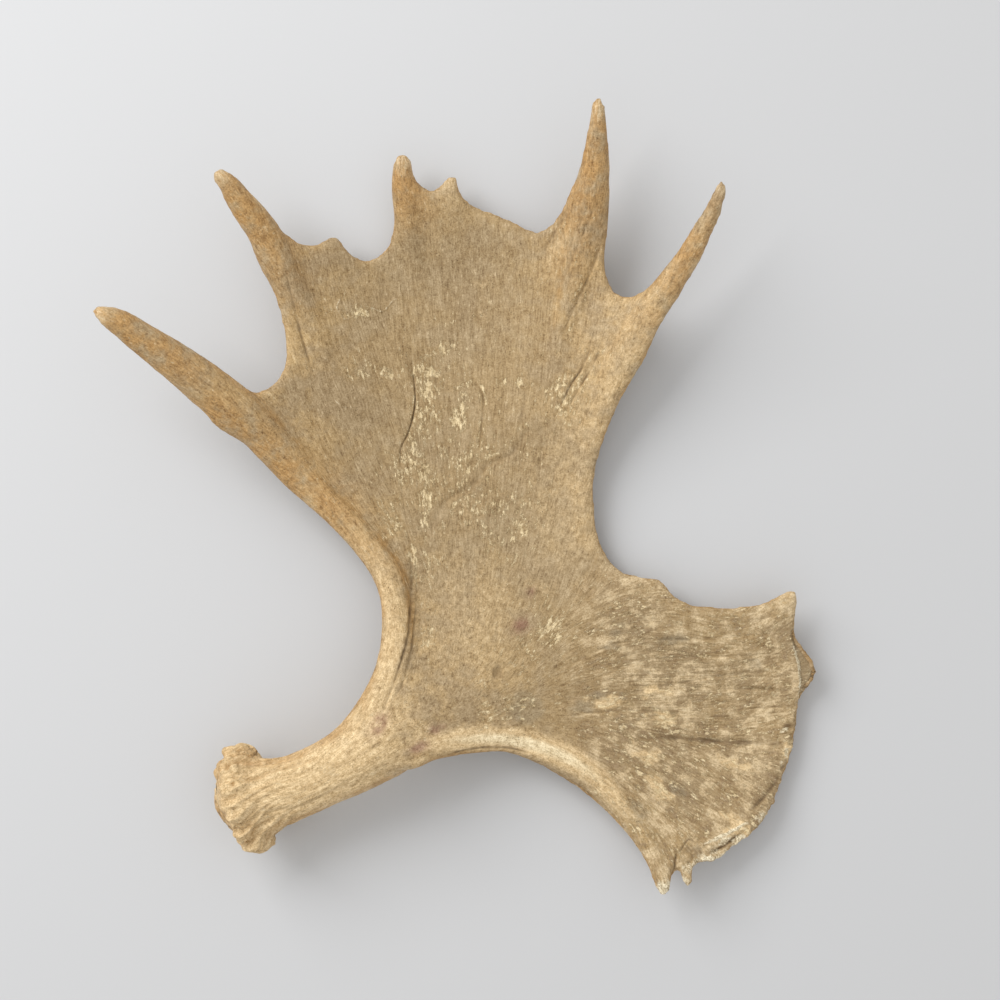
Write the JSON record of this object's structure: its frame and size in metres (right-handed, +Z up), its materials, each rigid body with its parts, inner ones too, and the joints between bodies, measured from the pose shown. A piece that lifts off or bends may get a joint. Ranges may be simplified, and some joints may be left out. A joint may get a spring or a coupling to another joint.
{
  "type": "moose antler",
  "caption": "Left moose antler: knobbly burr, round beam, dished main palm with long tapering tines, and a smaller brow palm with a broken outer edge, lying hollow side up",
  "frame": {"origin": "on the floor, under the middle of the antler's box, as it lies on its convex back", "axes": "+Z up out of the hollow of the palms, +Y from the brow palm towards the tips of the long tines, +X from the burr towards the brow palm"},
  "size_m": [0.6262, 0.6978, 0.1198],
  "materials": {
    "pale_antler": "dry, straw-coloured, finely furrowed and pitted",
    "brown_antler": "dry, golden brown, streaked along its growth, with pale flaked spots",
    "weathered_antler": "dry, mottled brown with pale chips, and white where it is broken"
  },
  "bodies": {
    "root": {"beam": "pale_antler", "main_palm": "brown_antler", "brow_palm": "weathered_antler"}
  },
  "joints": []
}
